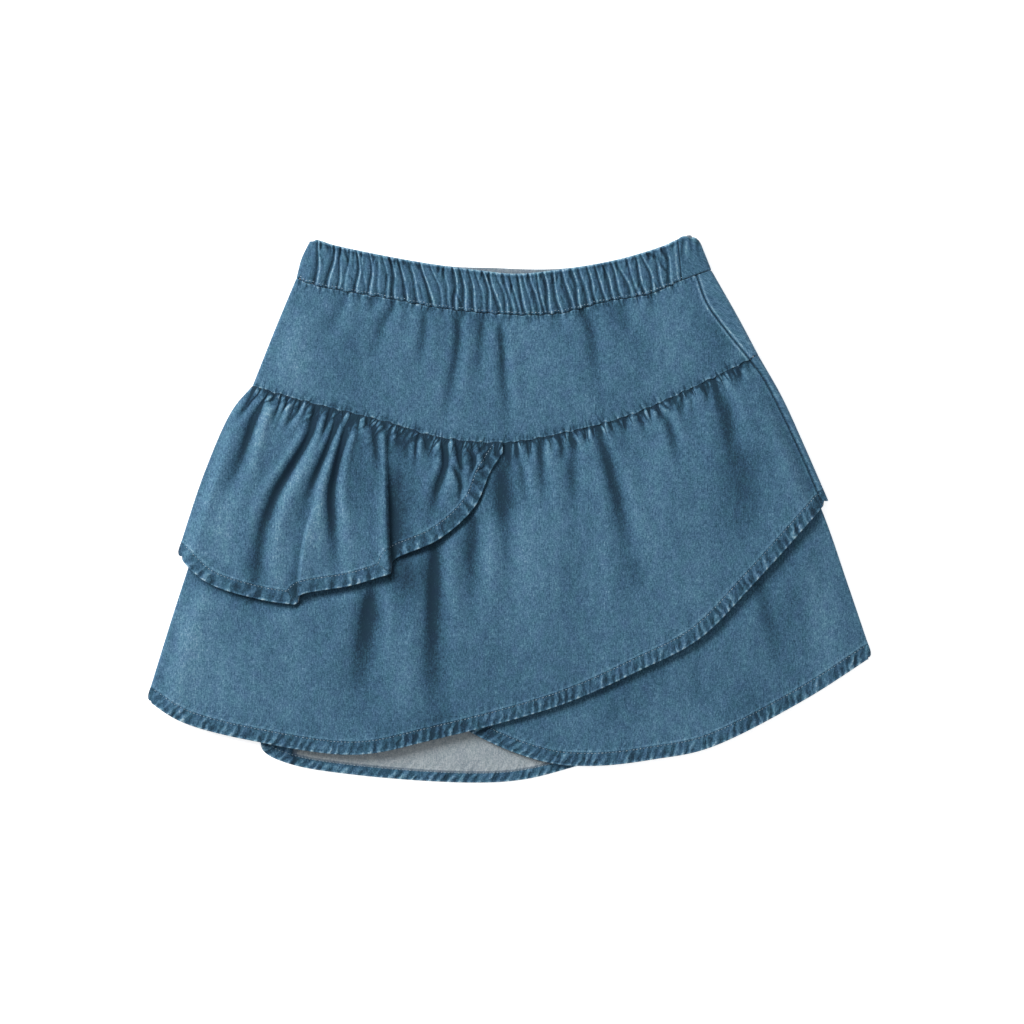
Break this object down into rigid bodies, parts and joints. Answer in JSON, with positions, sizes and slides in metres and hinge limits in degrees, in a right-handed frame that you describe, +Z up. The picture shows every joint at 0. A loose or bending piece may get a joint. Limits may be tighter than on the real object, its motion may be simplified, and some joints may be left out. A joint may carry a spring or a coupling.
{
  "type": "denim skirt",
  "caption": "Child's pull-on denim skirt laid flat: gathered elastic waistband, dipped yoke, short flounce, crossed gathered panels and a longer back.",
  "frame": {"origin": "on the table under the middle of the skirt's outline", "axes": "+X across the skirt towards the side seen on the right, +Y from the hem to the waist, +Z up from the table"},
  "size_m": [0.436, 0.329, 0.0127],
  "materials": {
    "denim": "washed cotton denim, matt",
    "denim_reverse": "paler wrong side of the denim, matt",
    "thread": "pale blue cotton sewing thread"
  },
  "bodies": {
    "root": {"waistband_front": "denim", "waistband_back": "denim", "yoke_front": "denim", "yoke_back": "denim", "flounce_front": "denim", "overlay_front": "denim", "under_panel_front": "denim", "flounce_back": "denim", "skirt_back": "denim"}
  },
  "joints": []
}
